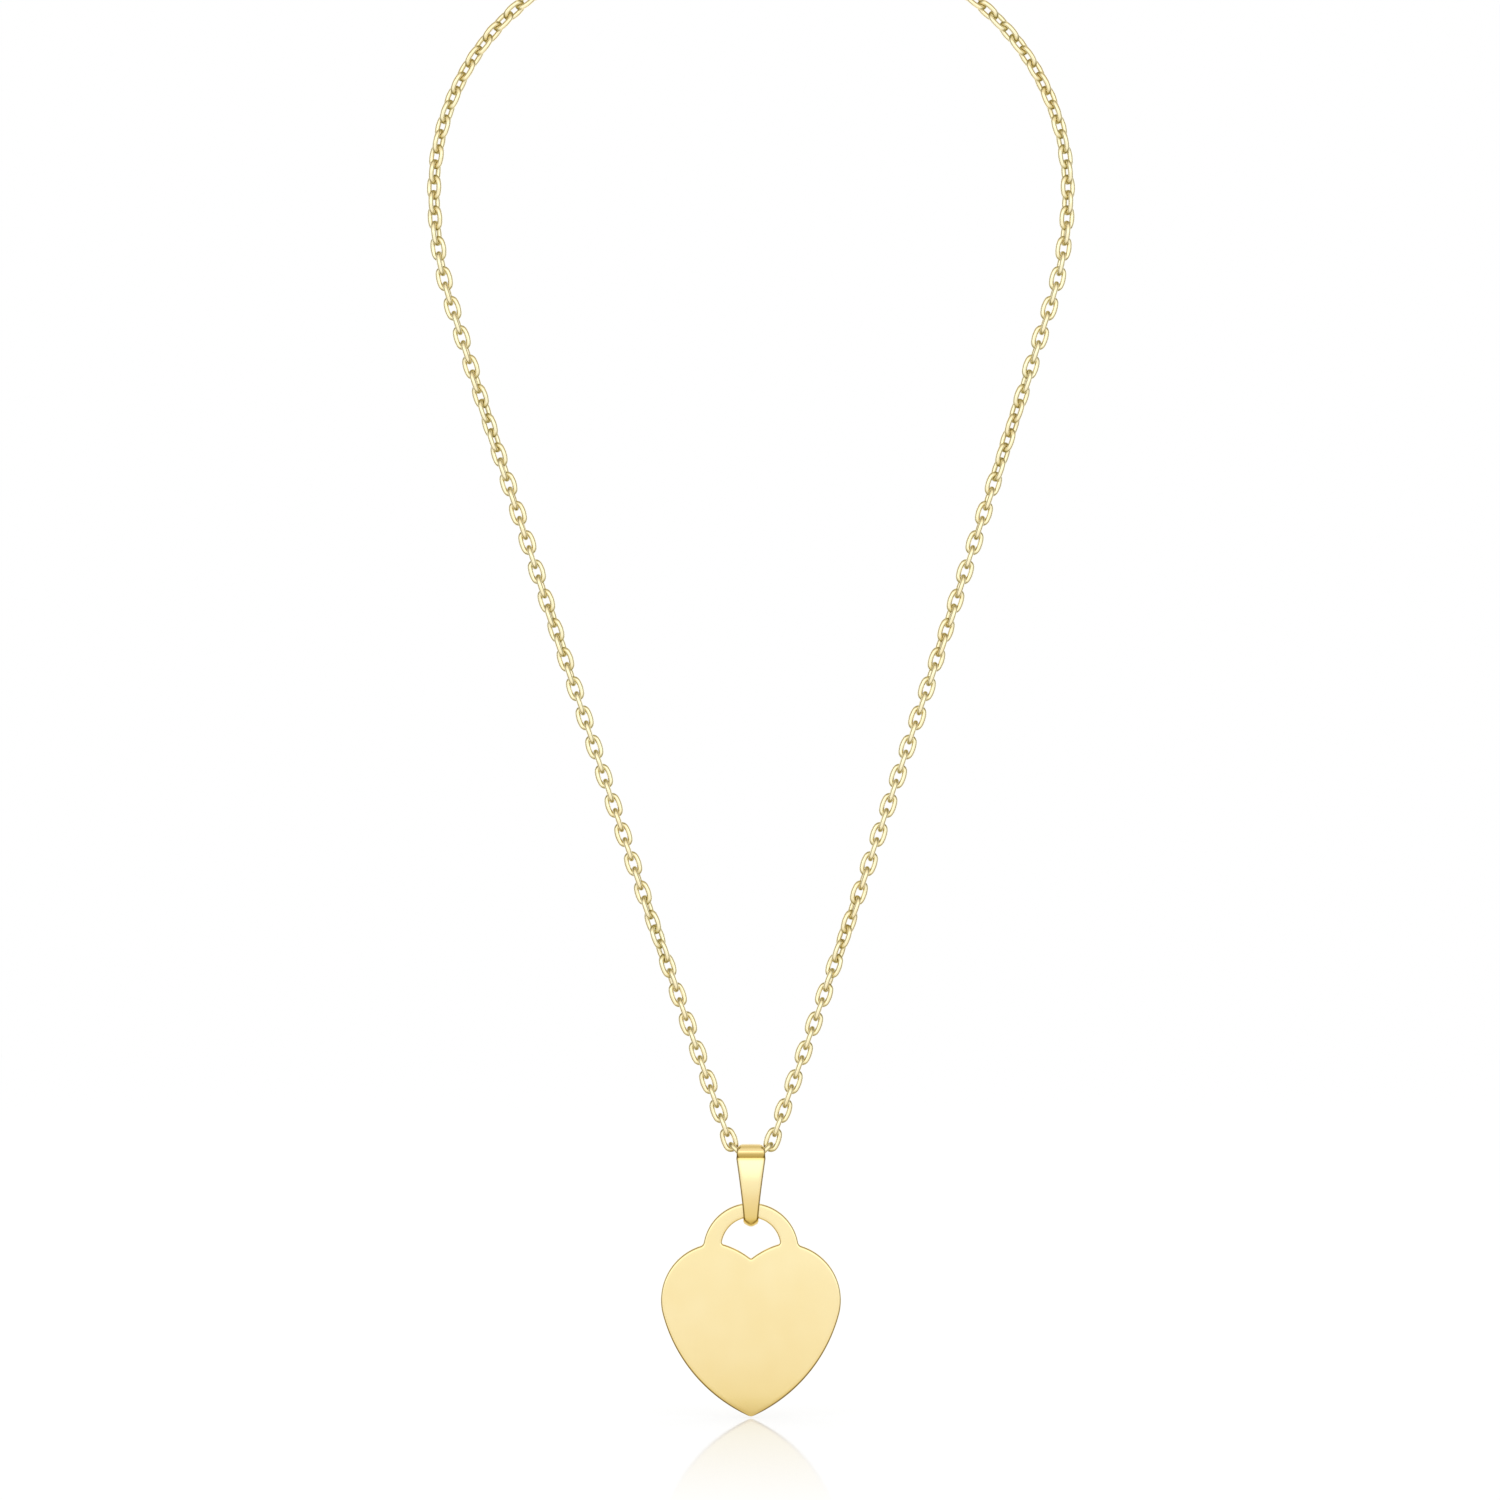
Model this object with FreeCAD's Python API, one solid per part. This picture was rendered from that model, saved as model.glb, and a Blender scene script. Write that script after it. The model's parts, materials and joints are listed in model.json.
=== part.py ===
import FreeCAD, Part
import math
import os
from FreeCAD import Placement, Rotation, Vector

# A pendant necklace, hanging: a closed loop of cable chain with a lobster clasp
# at the top, and a heart plate on a folded bail at the bottom.
# Millimetres. +Z up, +X to the right, the front of the heart faces -Y.
# The origin is at the top of the loop, in the middle of the clasp.

X_AXIS = Vector(1, 0, 0)
Y_AXIS = Vector(0, 1, 0)
Z_AXIS = Vector(0, 0, 1)

# ---- chain ----
WIRE = 0.76                # diameter of the chain's wire
LINK_WIDTH = 2.5           # outside width of one link
LINK_END_RADIUS = 0.79     # centre line radius at a link's two ends
LINK_GAP = 0.03            # play between two neighbouring links
RUN_LINKS = 92             # links on each side, from the clasp down to the foot link
CLASP_HALF = 6.85          # half of the straight stretch that the clasp and rings fill
LOOP_ARCS = ((47.5, 22.0), (36.6, 68.0), (57.0, 17.5), (5000.0, 0.99))  # radius, degrees
FOOT_BOW = 1900.0          # radius of the strand's last bow, below those arcs
FOOT_X = 2.88              # where the strand ends, beside the bail

# Turn of the links about the chain's own line, as (link number, degrees).
# Links are counted from 0, the one inside the bail.
TWIST = {
    "left": ((0, 0), (10, 0), (22, 90), (32, 90), (37, 64), (42, 90), (46, 84), (51, 56),
             (57, 84), (60, 84), (66, 58), (81, 45), (93, 90)),
    "right": ((0, 0), (10, 0), (22, 90), (31, 90), (37, 66), (42, 90), (45, 84), (50, 40),
              (57, 86), (60, 86), (67, 58), (81, 45), (93, 90)),
}

# The first link of each run of chain, from the clasp down. The first run is held,
# and each later run swings on the one above it. A run starts with a link that stands
# edge-on, so that it can turn about the wire of the link above.
RUN_STARTS = (93, 58, 42, 30, 22, 9)

# ---- bail ----
BAIL_WIDTH = 4.28          # the rolled band at the top
BAIL_LEG_TOP = 4.05        # the leg just under the band
BAIL_LEG_FOOT = 2.3        # the leg where it goes round the heart's arch
BAIL_BAND = 1.95           # height of the band on the front
BAIL_ROLL = 1.52           # inner radius of the roll round the chain
BAIL_ROOF = 0.43           # thickness over the roll
BAIL_LIFT = 0.15           # the roll's centre lies this far above the link inside it
BAIL_STRIP = 0.45          # how far the band stands in front of the leg
BAIL_FOOT_INNER = 0.95     # inner radius of the bend under the heart's arch
BAIL_FOOT_WALL = 0.85      # thickness of that bend
BAIL_FLARE = 0.36          # how far the roll's mouths widen, where the chain runs in
BAIL_MOUTH = 0.64           # depth of those mouths
BAIL_CORNER = 0.58         # cut-off corners at the roll's two ends, clear of the chain
BAIL_FOOT_ROUND = 0.7      # height of the rounded foot, seen from the front
BAIL_BACK = 4.28           # width of the strip where it runs up the back
BAIL_DROP = 13.41          # from the roll's centre down to the centre of the heart's arch

# ---- heart ----
PLATE = 1.3                # thickness of the heart
ARCH_INNER = 4.4           # radius of the hole's round top
ARCH_OUTER = 7.2           # radius of the arch outside
ARCH_SHIFT = 0.6           # the outer circle's centre lies this far below the inner one
CORNER = (4.35, 0.45)      # corner of the hole, from the inner circle's centre
CLEFT = -1.78              # bottom of the cleft between the lobes
CLEFT_RADIUS = 12.0        # curve of the lobes inside the hole
LOBE_CENTRE = (5.0, -7.97)
LOBE_RADIUS = 8.5
TIP = -25.5                # the heart's lowest point
SIDE_RADIUS = 23.3         # the long curve from lobe to tip
TIP_RADIUS = 0.9
NECK_RADIUS = 0.7          # fillet where arch meets lobe
HOLE_CORNER_RADIUS = 0.35  # fillets at the hole's two corners
CLEFT_ROUND = 0.25         # fillet at the bottom of the cleft
PLATE_EDGE = 0.16          # rounding of the plate's edges
ARCH_PLAY = 0.03           # play between the bail and the arch's underside

# ---- clasp ----
JUMP_WIRE = 0.8
JUMP_RADIUS = 1.6          # centre line radius of the ring that holds the clasp
CLOSURE_WIRE = 0.9
CLOSURE_RADIUS = 2.05      # centre line radius of the ring that the hook catches
EYE_WIRE = 0.9
EYE_RADIUS = 1.15
CLAW_WIRE = 1.3            # diameter of the claw
CLAW_BEND = 1.85           # centre line radius of its nose
CLAW_ROOT_X = -1.95        # where the claw's spine starts, inside the block
CLAW_TIP_X = 1.9
BLOCK_X = (-2.95, -0.9)    # the clasp's block, which carries the rivet
BLOCK_Z = (-2.5, 2.25)
BLOCK_THICKNESS = 2.4
BLOCK_CORNER = 0.8         # rounding of the block's corners, seen from the front
BLOCK_EDGE = 0.3           # rounding of its front and back edges
SLOT_WIDTH = 1.3
SLOT_X = -2.7
SLOT_FLOOR = 0.25
PIVOT = (-1.85, 1.3)       # the trigger's rivet, in x and z
RIVET_RADIUS = 0.3
RIVET_PLAY = 0.05
TRIGGER_WIDTH = 1.1
TRIGGER_HUB = 0.8          # radius round the rivet
HUB_WIDTH = 0.6            # the hub is narrower, to leave room for the spring
ARM_UNDER = 0.1            # the arm's underside lies this far below the rivet
ARM_START = 0.75           # where the arm gets its full width, from the rivet
GATE_END = 1.1             # where the arm stops, short of the claw's tip
GATE_SHOULDER = 0.7        # length of the thick end that carries the lip
LIP_Z = 0.8                # underside of the lip that closes against the claw
LIP_THICKNESS = 0.32
LIP_ROOT = 0.1             # how far the lip reaches into the shoulder
NUB = (1.3, 1.05)          # centre of the thumb nub, from the rivet
NUB_RADIUS = 0.55
SPRING_WIRE = 0.18
SPRING_TURNS = 1.75
SPRING_PITCH = 0.2         # from one turn of the coil to the next
SPRING_PLAY = 0.04         # between the coil and the rivet
SPRING_SIDE = 0.05         # between the coil and the hub
SPRING_FOOT = 0.06         # between the spring's leg and the slot's floor
SPRING_ARM = 0.6           # length of the leg that bears up towards the arm
SPRING_ARM_SLOPE = 0.6     # how steeply that leg rises


# ---- the loop's line ----

def loop_arcs():
    """Each arc of the right half: start length, length, radius, start x, z and heading."""
    stretches = []
    x, z, heading, travelled = CLASP_HALF, 0.0, 0.0, 0.0
    for radius, turn in LOOP_ARCS:
        stretches.append((travelled, radius * math.radians(turn), radius, x, z, heading))
        end = heading + math.radians(turn)
        x += radius * (math.sin(end) - math.sin(heading))
        z += radius * (math.cos(end) - math.cos(heading))
        travelled += radius * (end - heading)
        heading = end
    end = math.pi - math.asin(math.sin(heading) + (FOOT_X - x) / FOOT_BOW)
    length = FOOT_BOW * (end - heading)
    stretches.append((travelled, length, FOOT_BOW, x, z, heading))
    return stretches


LOOP = loop_arcs()
RUN_LENGTH = LOOP[-1][0] + LOOP[-1][1]
PITCH = RUN_LENGTH / RUN_LINKS


def on_loop(travelled):
    """x, z and heading at a length from the clasp. The heading turns down from +X."""
    for start, length, radius, x, z, heading in LOOP:
        if travelled <= start + length + 1e-9:
            break
    end = heading + (travelled - start) / radius
    return (x + radius * (math.sin(end) - math.sin(heading)),
            z + radius * (math.cos(end) - math.cos(heading)), end)


# A link that stands edge-on turns in the bend of each neighbour, about that bend's centre.
# So link 1 is a bar between the bends of link 0, inside the bail, and of link 2.
BEND_X = (PITCH + LINK_GAP + WIRE) / 2 - LINK_END_RADIUS  # from a link's middle to the bend
BAR_LENGTH = 2 * (PITCH - BEND_X)
PIN_X, PIN_Z, _ = on_loop(RUN_LENGTH - PITCH / 2 + BEND_X)
BAR_RISE = math.sqrt(BAR_LENGTH ** 2 - (PIN_X - BEND_X) ** 2)
CENTRE_Z = PIN_Z - BAR_RISE        # height of the link inside the bail


# ---- chain links ----

def torus_arc(radius, wire, centre, start, sweep):
    """A bent wire about +Y: from the angle start, counted from +X towards +Z."""
    arc = Part.makeTorus(radius, wire / 2, Vector(0, 0, 0), Z_AXIS, -180, 180, sweep)
    arc.rotate(Vector(0, 0, 0), Z_AXIS, start)
    arc.rotate(Vector(0, 0, 0), X_AXIS, 90)
    arc.translate(Vector(centre[0], 0, centre[1]))
    return arc


def link_solid():
    """One oval link, its length along X and its flat side facing Y."""
    half_length = (PITCH + LINK_GAP + WIRE) / 2
    half_width = (LINK_WIDTH - WIRE) / 2
    reach = half_length - LINK_END_RADIUS
    side_radius = ((reach ** 2 + half_width ** 2 - LINK_END_RADIUS ** 2)
                   / (2 * (half_width - LINK_END_RADIUS)))
    drop = side_radius - half_width
    lean = math.degrees(math.atan2(drop, reach))
    pieces = []
    for turn in (0, 180):
        end = torus_arc(LINK_END_RADIUS, WIRE, (reach, 0), -lean, 2 * lean)
        side = torus_arc(side_radius, WIRE, (0, -drop), lean, 180 - 2 * lean)
        for piece in (end, side):
            piece.rotate(Vector(0, 0, 0), Y_AXIS, turn)
            pieces.append(piece)
    return pieces[0].fuse(pieces[1:]).removeSplitter()


def twist_at(side, number):
    """The extra turn of one link, read from the keys with eased steps between them."""
    keys = TWIST[side]
    for (first, before), (last, after) in zip(keys, keys[1:]):
        if number <= last:
            share = (number - first) / (last - first)
            ease = share * share * (3 - 2 * share)
            return before + (after - before) * ease
    return keys[-1][1]


def link_place(side, number):
    """Where link number lies: neighbours stand at right angles to each other."""
    if number == 0:
        x, z, heading = 0.0, CENTRE_Z, 0.0
    elif number == 1:
        x, z = (BEND_X + PIN_X) / 2, (CENTRE_Z + PIN_Z) / 2
        heading = -math.atan2(BAR_RISE, PIN_X - BEND_X)
    else:
        x, z, heading = on_loop(RUN_LENGTH - (number - 1.5) * PITCH)
    mirror = -1 if side == "left" else 1
    turn = 90 * (number % 2) + twist_at(side, number)
    rotation = Rotation(Y_AXIS, mirror * math.degrees(heading)) * Rotation(X_AXIS, turn)
    return Placement(Vector(mirror * x, 0, z), rotation)


def chain_run(link, side, numbers):
    links = []
    for number in numbers:
        one = link.copy()
        one.Placement = link_place(side, number)
        links.append(one)
    return Part.makeCompound(links)


def run_numbers(run):
    """The link numbers of one run, counted from the clasp down."""
    last = RUN_STARTS[run + 1] if run + 1 < len(RUN_STARTS) else 0
    return range(RUN_STARTS[run], last, -1)


# ---- small helpers ----

def face_from(edges):
    return Part.Face(Part.Wire(Part.__sortEdges__(edges)))


def plate(face, low, high):
    """A face in the XZ plane, thickened from y = low to y = high."""
    moved = face.copy()
    moved.translate(Vector(0, low, 0))
    return moved.extrude(Vector(0, high - low, 0))


def arc_between(start, end, radius, bulge):
    """An arc in a plane given by x and z; bulge is +1 to the left of start-to-end."""
    chord = end - start
    half = chord.Length / 2
    rise = radius - math.sqrt(radius ** 2 - half ** 2)
    left = Vector(-chord.z, 0, chord.x).normalize()
    return Part.Arc(start, start + chord * 0.5 + left * (rise * bulge), end).toShape()


# ---- bail ----

BAIL_AXIS_Z = CENTRE_Z + BAIL_LIFT                       # centre of the roll
ARCH_Z = BAIL_AXIS_Z - BAIL_DROP                         # centre of the heart's inner circle
ARCH_UNDER = ARCH_Z + math.sqrt(ARCH_INNER ** 2 - (BAIL_LEG_FOOT / 2) ** 2)
FOOT_DEPTH = BAIL_FOOT_INNER - math.sqrt(BAIL_FOOT_INNER ** 2 - (PLATE / 2) ** 2)
BAIL_FOOT_Z = ARCH_UNDER - ARCH_PLAY - FOOT_DEPTH + BAIL_FOOT_INNER  # centre of the bend


def teardrop(top_radius, foot_radius):
    """A closed outline in the YZ plane round the roll's and the bend's centres."""
    distance = BAIL_AXIS_Z - BAIL_FOOT_Z
    lean = math.asin((top_radius - foot_radius) / distance)
    across, down = math.cos(lean), math.sin(lean)
    edges, points = [], {}
    for name, radius, z in (("top", top_radius, BAIL_AXIS_Z), ("foot", foot_radius, BAIL_FOOT_Z)):
        points[name] = [Vector(0, side * radius * across, z - radius * down) for side in (-1, 1)]
    crown = Vector(0, 0, BAIL_AXIS_Z + top_radius)
    sole = Vector(0, 0, BAIL_FOOT_Z - foot_radius)
    edges.append(Part.Arc(points["top"][0], crown, points["top"][1]).toShape())
    edges.append(Part.Arc(points["foot"][0], sole, points["foot"][1]).toShape())
    edges.append(Part.makeLine(points["top"][0], points["foot"][0]))
    edges.append(Part.makeLine(points["top"][1], points["foot"][1]))
    return face_from(edges)


def bail_outline(leg_top):
    """The bail seen from the front: the band, then a leg that narrows to a round foot."""
    top = BAIL_AXIS_Z + BAIL_ROLL + BAIL_ROOF
    foot = BAIL_FOOT_Z - BAIL_FOOT_INNER - BAIL_FOOT_WALL
    half_band, half_foot = BAIL_WIDTH / 2, BAIL_LEG_FOOT / 2
    right = [
        (half_band - BAIL_CORNER, top),
        (half_band, top - BAIL_CORNER),
        (half_band, top - BAIL_BAND),
        (leg_top / 2, top - BAIL_BAND),
        (half_foot, foot + BAIL_FOOT_ROUND),
    ]
    points = [Vector(x, 0, z) for x, z in right]
    mirror = [Vector(-p.x, 0, p.z) for p in reversed(points)]
    sole = Part.Arc(points[-1], Vector(0, 0, foot), mirror[0]).toShape()
    sides = [Part.makePolygon(points).Edges, Part.makePolygon(mirror).Edges]
    crown = Part.makeLine(mirror[-1], points[0])
    return face_from(sides[0] + [sole] + sides[1] + [crown])


def bail_band():
    """The strip's free end, in front of the leg's top, as a profile seen from the side."""
    radius = BAIL_ROLL + BAIL_ROOF
    level = Vector(0, 0, BAIL_AXIS_Z)
    front = Vector(0, -BAIL_STRIP, BAIL_AXIS_Z)
    lean = math.sqrt(0.5) * radius
    edges = [
        Part.makeLine(level, front + Vector(0, -radius, 0)),
        Part.Arc(front + Vector(0, -radius, 0), front + Vector(0, -lean, lean),
                 front + Vector(0, 0, radius)).toShape(),
        Part.makeLine(front + Vector(0, 0, radius), level + Vector(0, 0, radius)),
        Part.makeLine(level + Vector(0, 0, radius), level),
    ]
    return face_from(edges)


def across_bail(profile):
    """A side profile, thickened over the bail's whole width."""
    start = profile.copy()
    start.translate(Vector(-BAIL_WIDTH / 2, 0, 0))
    return start.extrude(Vector(BAIL_WIDTH, 0, 0))


def bail_solid():
    """A strip folded into a loop: under the arch, up the back, over the chain, and down
    the front, where its end covers the top of the front leg as a band."""
    outside = across_bail(teardrop(BAIL_ROLL + BAIL_ROOF, BAIL_FOOT_INNER + BAIL_FOOT_WALL))
    inside = across_bail(teardrop(BAIL_ROLL, BAIL_FOOT_INNER))
    strip = outside.fuse(across_bail(bail_band())).cut(inside)
    depth = 2 * (BAIL_ROLL + BAIL_ROOF)
    front = plate(bail_outline(BAIL_LEG_TOP), -depth, 0)
    back = plate(bail_outline(BAIL_BACK), 0, depth)
    strip = strip.common(front.fuse(back))
    for side in (-1, 1):
        start = Vector(side * (BAIL_WIDTH / 2 - BAIL_MOUTH), 0, BAIL_AXIS_Z)
        mouth = Part.makeCone(BAIL_ROLL, BAIL_ROLL + BAIL_FLARE, BAIL_MOUTH, start,
                              X_AXIS * side)
        strip = strip.cut(mouth)
    return strip.removeSplitter()


# ---- heart ----

def heart_point(x, z):
    return Vector(x, 0, ARCH_Z + z)


def circle_crossing(centre_a, radius_a, centre_b, radius_b, side):
    """Where two circles in the XZ plane cross; side picks one of the two places."""
    across = centre_b - centre_a
    distance = across.Length
    along = (distance ** 2 + radius_a ** 2 - radius_b ** 2) / (2 * distance)
    height = math.sqrt(radius_a ** 2 - along ** 2)
    unit = across * (1 / distance)
    left = Vector(-unit.z, 0, unit.x)
    return centre_a + unit * along + left * (height * side)


def heart_side():
    """Centre of the long side curve: it passes through the tip and is tangent to the lobe."""
    lobe = heart_point(*LOBE_CENTRE)
    tip = heart_point(0, TIP)
    return circle_crossing(tip, SIDE_RADIUS, lobe, SIDE_RADIUS - LOBE_RADIUS, 1)


def mirrored(edges):
    return [edge.mirror(Vector(0, 0, 0), X_AXIS) for edge in edges]


def heart_outline():
    """The outside of the plate: tip, side, lobe and arch, right half and its mirror."""
    lobe = heart_point(*LOBE_CENTRE)
    side = heart_side()
    arch = heart_point(0, -ARCH_SHIFT)
    outward = (lobe - side).normalize()
    shoulder = lobe + outward * LOBE_RADIUS
    neck = circle_crossing(arch, ARCH_OUTER, lobe, LOBE_RADIUS, 1)
    tip = heart_point(0, TIP)
    crown = heart_point(0, ARCH_OUTER - ARCH_SHIFT)
    half = [
        arc_between(tip, shoulder, SIDE_RADIUS, -1),
        Part.Arc(shoulder, lobe + Vector(1, 0, 1).normalize() * LOBE_RADIUS, neck).toShape(),
        arc_between(neck, crown, ARCH_OUTER, -1),
    ]
    return face_from(half + mirrored(half))


def heart_hole():
    """The opening under the arch: a round top, and two lobes that meet in the cleft."""
    corner = heart_point(*CORNER)
    across = heart_point(-CORNER[0], CORNER[1])
    cleft = heart_point(0, CLEFT)
    lobe = arc_between(corner, cleft, CLEFT_RADIUS, -1)
    top = Part.Arc(corner, heart_point(0, ARCH_INNER), across).toShape()
    return face_from([top, lobe] + mirrored([lobe]))


def upright_edges(solid, places, reach):
    """The edges along Y that pass within reach of one of the places."""
    found = []
    for edge in solid.Edges:
        middle = edge.CenterOfMass
        runs_along_y = edge.BoundBox.YLength > PLATE * 0.9
        near = any(math.hypot(middle.x - p.x, middle.z - p.z) < reach for p in places)
        if runs_along_y and near:
            found.append(edge)
    return found


def heart_solid():
    blank = plate(heart_outline().cut(heart_hole()), -PLATE / 2, PLATE / 2)
    neck = circle_crossing(heart_point(0, -ARCH_SHIFT), ARCH_OUTER,
                           heart_point(*LOBE_CENTRE), LOBE_RADIUS, 1)
    corner = heart_point(*CORNER)
    roundings = (
        (TIP_RADIUS, [heart_point(0, TIP)]),
        (NECK_RADIUS, [neck, Vector(-neck.x, 0, neck.z)]),
        (HOLE_CORNER_RADIUS, [corner, Vector(-corner.x, 0, corner.z)]),
        (CLEFT_ROUND, [heart_point(0, CLEFT)]),
    )
    for radius, places in roundings:
        blank = blank.makeFillet(radius, upright_edges(blank, places, 0.05))
    rims = [edge for edge in blank.Edges if edge.BoundBox.YLength < 1e-6]
    return blank.makeFillet(PLATE_EDGE, rims)


# ---- clasp ----

def ring_flat(radius, wire, x):
    """A ring lying level, its centre on the X axis."""
    return Part.makeTorus(radius, wire / 2, Vector(x, 0, 0), Z_AXIS)


JUMP_X = -CLASP_HALF - LINK_GAP / 2 - JUMP_WIRE / 2 + JUMP_RADIUS
EYE_X = JUMP_X + JUMP_RADIUS - JUMP_WIRE / 2 - LINK_GAP - EYE_WIRE / 2 + EYE_RADIUS
CLOSURE_X = CLASP_HALF + LINK_GAP / 2 + CLOSURE_WIRE / 2 - CLOSURE_RADIUS
NOSE_X = CLOSURE_X - CLOSURE_RADIUS + CLOSURE_WIRE / 2 + LINK_GAP + CLAW_WIRE / 2
CLAW_X = NOSE_X - CLAW_BEND


def box(low, high):
    size = [b - a for a, b in zip(low, high)]
    return Part.makeBox(*size, Vector(*low))


def disc(centre, radius, width):
    """A round plate about Y, its centre at x and z."""
    start = Vector(centre[0], -width / 2, centre[1])
    return Part.makeCylinder(radius, width, start, Y_AXIS)


def rod(start, end, diameter):
    """A straight rod with round ends between two points given by x and z."""
    a, b = Vector(start[0], 0, start[1]), Vector(end[0], 0, end[1])
    shaft = Part.makeCylinder(diameter / 2, (b - a).Length, a, b - a)
    return shaft.fuse([Part.makeSphere(diameter / 2, a), Part.makeSphere(diameter / 2, b)])


def clasp_body():
    """A claw with a block at its root, an eye for the jump ring, and a slot."""
    half = BLOCK_THICKNESS / 2
    block = box((BLOCK_X[0], -half, BLOCK_Z[0]), (BLOCK_X[1], half, BLOCK_Z[1]))
    corners = [e for e in block.Edges if e.BoundBox.YLength > half]
    block = block.makeFillet(BLOCK_CORNER, corners)
    rims = [e for e in block.Edges if e.BoundBox.YLength < 1e-6]
    block = block.makeFillet(BLOCK_EDGE, rims)
    spine = rod((CLAW_ROOT_X, -CLAW_BEND), (CLAW_X, -CLAW_BEND), CLAW_WIRE)
    nose = torus_arc(CLAW_BEND, CLAW_WIRE, (CLAW_X, 0), -90, 180)
    tip = rod((CLAW_X, CLAW_BEND), (CLAW_TIP_X, CLAW_BEND), CLAW_WIRE)
    eye = torus_arc(EYE_RADIUS, EYE_WIRE, (EYE_X, 0), 0, 360)
    slot_half = SLOT_WIDTH / 2
    past = CLAW_BEND * 2
    slot = box((SLOT_X, -slot_half, SLOT_FLOOR), (0, slot_half, past))
    hole = disc(PIVOT, RIVET_RADIUS, past)
    return block.fuse([spine, nose, tip, eye]).cut(slot).cut(hole)


def clasp_trigger():
    """The gate lever: a hub on the rivet, an arm to the claw's tip, and a thumb nub."""
    half = TRIGGER_WIDTH / 2
    front = -half + HUB_WIDTH
    x, z = PIVOT
    under = z - ARM_UNDER
    hub = box((x, -half, under), (x + 1, front, z + TRIGGER_HUB))
    hub = hub.fuse(Part.makeCylinder(TRIGGER_HUB, HUB_WIDTH, Vector(x, -half, z), Y_AXIS))
    arm = box((x + ARM_START, -half, under), (GATE_END, half, z + TRIGGER_HUB))
    shoulder = box((GATE_END - GATE_SHOULDER, -half, LIP_Z), (GATE_END, half, z))
    lip = box((GATE_END - LIP_ROOT, -half, LIP_Z), (CLAW_TIP_X, half, LIP_Z + LIP_THICKNESS))
    nub = disc((x + NUB[0], z + NUB[1]), NUB_RADIUS, TRIGGER_WIDTH)
    bore = disc(PIVOT, RIVET_RADIUS + RIVET_PLAY, BLOCK_THICKNESS)
    return hub.fuse([arm, shoulder, lip, nub]).cut(bore).removeSplitter()


def clasp_rivet():
    return disc(PIVOT, RIVET_RADIUS, BLOCK_THICKNESS)


def clasp_spring():
    """A torsion coil on the rivet, beside the hub: one leg on the slot's floor, one that
    bears up towards the arm."""
    x, z = PIVOT
    radius = SPRING_WIRE / 2
    coil_radius = RIVET_RADIUS + SPRING_PLAY + radius
    first = -TRIGGER_WIDTH / 2 + HUB_WIDTH + SPRING_SIDE + radius
    height = SPRING_TURNS * SPRING_PITCH
    path = Part.Wire(Part.makeHelix(SPRING_PITCH, height, coil_radius).Edges)
    profile = Part.Wire(Part.makeCircle(radius, Vector(coil_radius, 0, 0), Y_AXIS))
    coil = path.makePipeShell([profile], True, True)
    down = Part.makeCylinder(radius, z - SLOT_FLOOR - SPRING_FOOT, Vector(coil_radius, 0, 0),
                             Y_AXIS * -1)
    across = Part.makeCylinder(radius, SPRING_ARM, Vector(0, -coil_radius, height),
                               Vector(-1, -SPRING_ARM_SLOPE, 0))
    spring = coil.fuse([down, across])
    spring.rotate(Vector(0, 0, 0), X_AXIS, 90)
    spring.rotate(Vector(0, 0, 0), Z_AXIS, 180)
    spring.translate(Vector(x, first, z))
    return spring


# ---- all the pieces ----

def pieces():
    """Every node's name and its shape."""
    link = link_solid()
    yield "centre_link", chain_run(link, "right", [0])
    for side in ("left", "right"):
        for run in range(len(RUN_STARTS)):
            yield f"chain_{side}_{run + 1}", chain_run(link, side, run_numbers(run))
    yield "bail", bail_solid()
    yield "heart", heart_solid()
    yield "jump_ring", ring_flat(JUMP_RADIUS, JUMP_WIRE, JUMP_X)
    yield "closure_ring", ring_flat(CLOSURE_RADIUS, CLOSURE_WIRE, CLOSURE_X)
    yield "clasp_body", clasp_body()
    yield "clasp_trigger", clasp_trigger()
    yield "clasp_rivet", clasp_rivet()
    yield "clasp_spring", clasp_spring()


def main():
    os.makedirs("parts", exist_ok=True)
    for name, shape in pieces():
        shape.exportStep(f"parts/{name}.step")
        print(name, len(shape.Solids), "valid" if shape.isValid() else "NOT VALID")


main()
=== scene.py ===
import json
import math

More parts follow.
